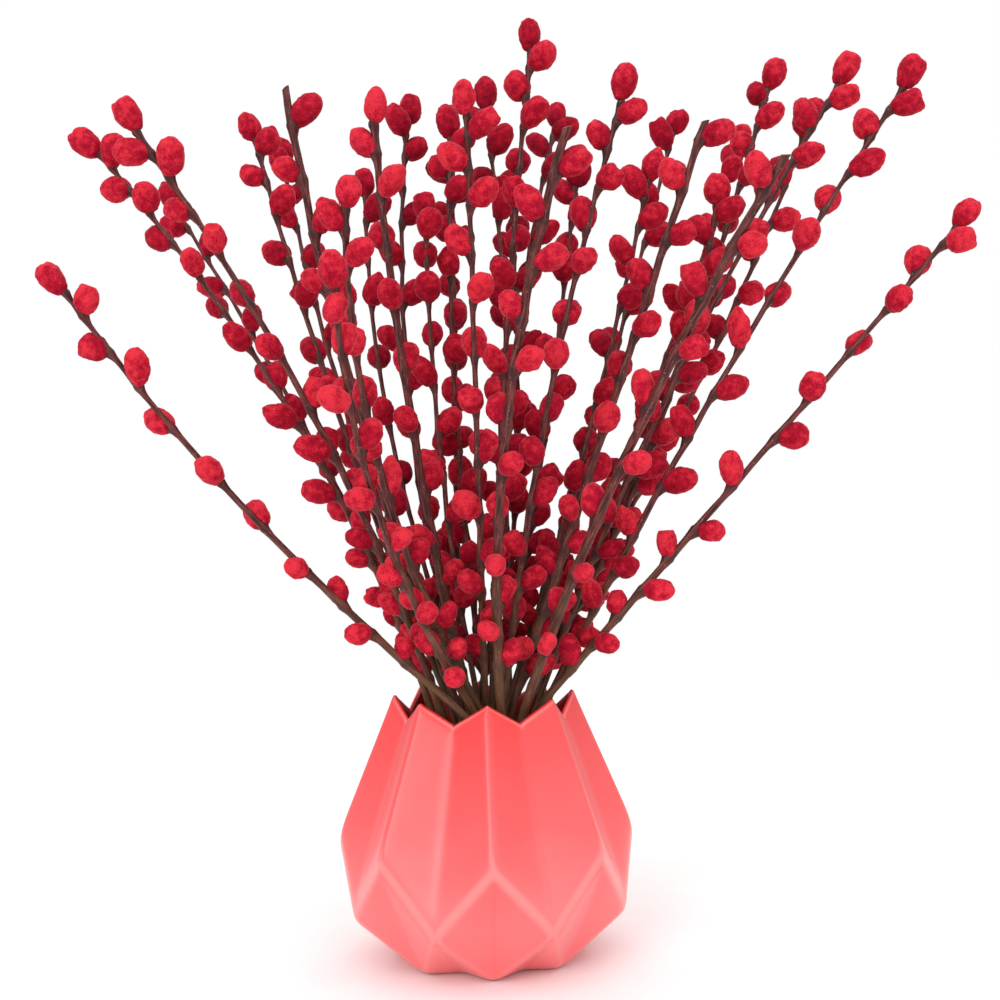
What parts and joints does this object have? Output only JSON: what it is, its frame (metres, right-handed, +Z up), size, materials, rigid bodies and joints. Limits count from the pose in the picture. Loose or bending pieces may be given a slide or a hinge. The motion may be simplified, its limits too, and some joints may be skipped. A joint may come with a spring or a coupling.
{
  "type": "willow branches in a vase",
  "caption": "Bunch of slender red-dyed pussy-willow branches with fluffy oval catkins, standing fanned out in a faceted, zigzag-rimmed glazed vase.",
  "frame": {"origin": "middle of the vase's flat underside, on the surface it stands on", "axes": "+Z up along the vase's axis, -Y towards the front, +X to the right of the front view"},
  "size_m": [0.437, 0.2616, 0.467],
  "materials": {
    "glaze": "smooth satin coral glaze over folded facets, a little paler along the creases and the lip",
    "bark": "thin brown-purple willow bark, dull, olive brown towards the foot",
    "catkin": "dense short silky down dyed bright red, like velvet"
  },
  "bodies": {
    "root": {"vase": "glaze", "branch_01": "bark", "branch_02": "bark", "branch_03": "bark", "branch_04": "bark", "branch_05": "bark", "branch_06": "bark", "branch_07": "bark", "branch_08": "bark", "branch_09": "bark", "branch_10": "bark", "branch_11": "bark", "branch_12": "bark", "branch_13": "bark", "branch_14": "bark", "branch_15": "bark", "branch_16": "bark", "branch_17": "bark", "branch_18": "bark", "branch_19": "bark", "branch_20": "bark", "branch_21": "bark", "branch_22": "bark", "branch_23": "bark", "branch_24": "bark", "branch_25": "bark", "branch_26": "bark", "branch_27": "bark", "branch_28": "bark", "branch_29": "bark", "branch_30": "bark", "branch_31": "bark", "branch_32": "bark", "branch_33": "bark", "branch_34": "bark"}
  },
  "joints": []
}
